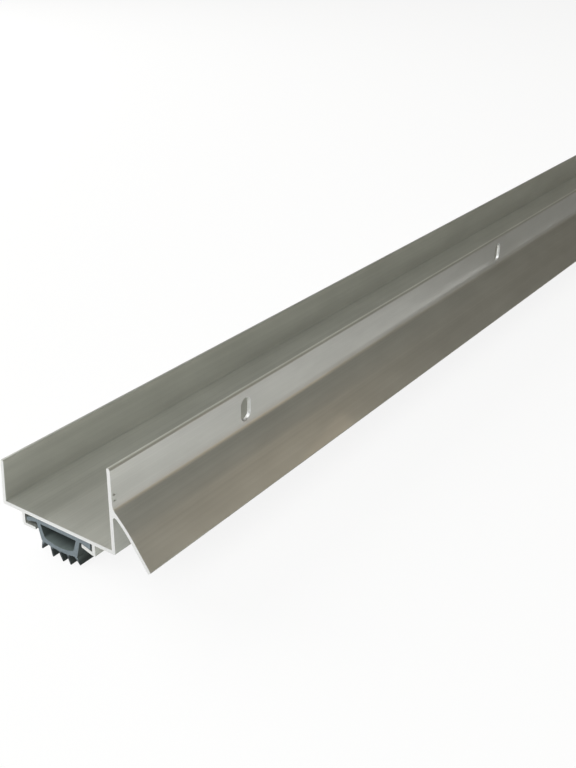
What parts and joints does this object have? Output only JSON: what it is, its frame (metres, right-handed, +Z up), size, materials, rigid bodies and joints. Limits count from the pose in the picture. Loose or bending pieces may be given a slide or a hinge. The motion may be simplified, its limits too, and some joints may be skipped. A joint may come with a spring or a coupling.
{
  "type": "door drip cap",
  "caption": "Aluminium channel that slides over a door's lower edge, with a sloping drip fin on its weather side and a fluted vinyl seal in a track underneath.",
  "frame": {"origin": "middle of the channel floor, half way along the bar, where the door's lower edge sits", "axes": "+X along the bar, -Y towards the weather side that carries the drip fin, +Z up"},
  "size_m": [0.9144, 0.0616, 0.0413],
  "materials": {
    "anodised_aluminium": "satin nickel anodised, bare at the saw cuts",
    "vinyl": "matte"
  },
  "bodies": {
    "root": {"channel": "anodised_aluminium", "seal": "vinyl"}
  },
  "joints": []
}
